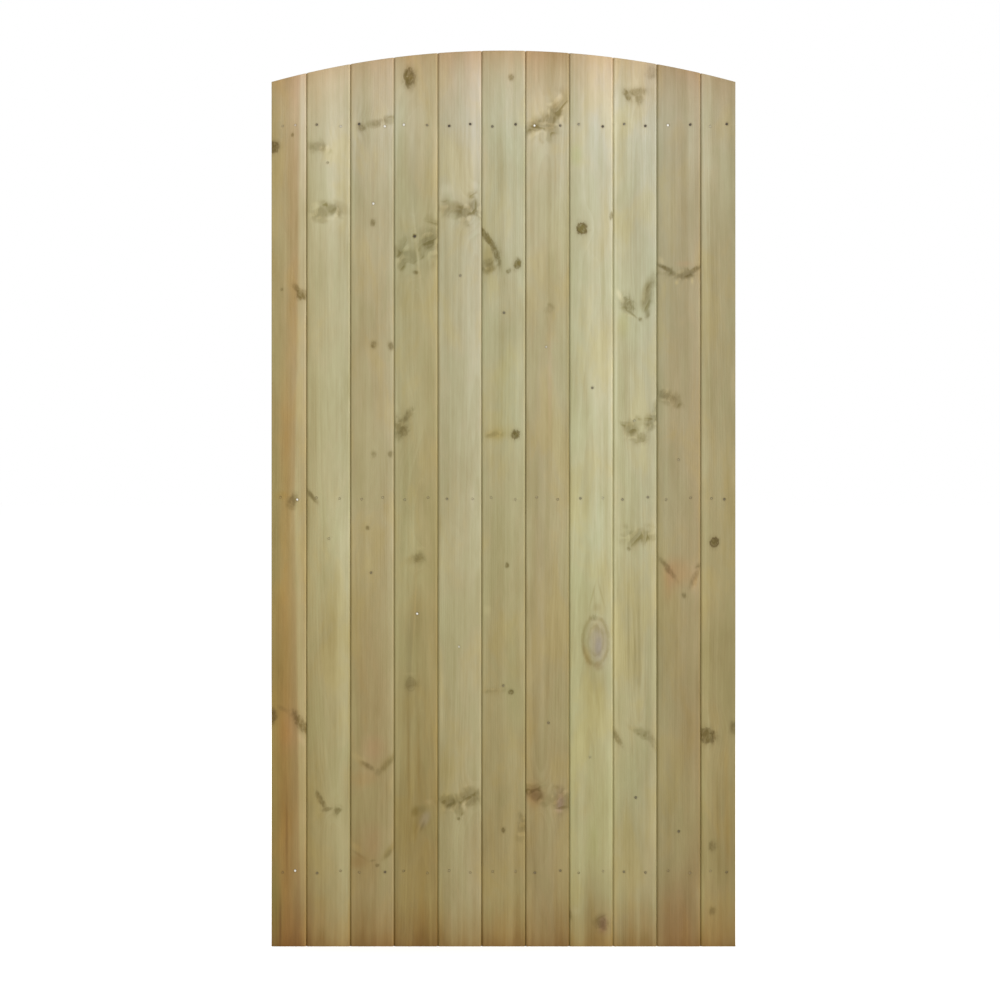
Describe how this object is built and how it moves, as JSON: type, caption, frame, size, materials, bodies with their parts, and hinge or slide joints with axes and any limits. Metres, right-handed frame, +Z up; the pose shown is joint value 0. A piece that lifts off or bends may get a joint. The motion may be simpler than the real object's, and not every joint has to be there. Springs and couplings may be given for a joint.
{
  "type": "garden gate leaf",
  "caption": "Arched garden gate leaf of upright tongue-and-groove boards, nailed to three ledges with two diagonal braces, in treated softwood.",
  "frame": {"origin": "at the foot of the gate, midway across its width and midway through its depth", "axes": "+Z up, +X to the right as seen from the boarded face, towards the hanging edge, +Y from the boarded face to the ledges"},
  "size_m": [0.932, 0.054, 1.8],
  "materials": {
    "face_boards": "planed pressure-treated softwood, pale green-brown with knots",
    "ledges_and_braces": "planed pressure-treated softwood, a little greener than the boards",
    "nails": "galvanised, dull"
  },
  "bodies": {
    "root": {"left_edge_board": "face_boards", "board_1": "face_boards", "board_2": "face_boards", "board_3": "face_boards", "board_4": "face_boards", "board_5": "face_boards", "board_6": "face_boards", "board_7": "face_boards", "board_8": "face_boards", "board_9": "face_boards", "right_edge_board": "face_boards", "top_ledge": "ledges_and_braces", "middle_ledge": "ledges_and_braces", "bottom_ledge": "ledges_and_braces", "upper_brace": "ledges_and_braces", "lower_brace": "ledges_and_braces", "top_ledge_nails": "nails", "middle_ledge_nails": "nails", "bottom_ledge_nails": "nails", "upper_brace_nails": "nails", "lower_brace_nails": "nails"}
  },
  "joints": []
}
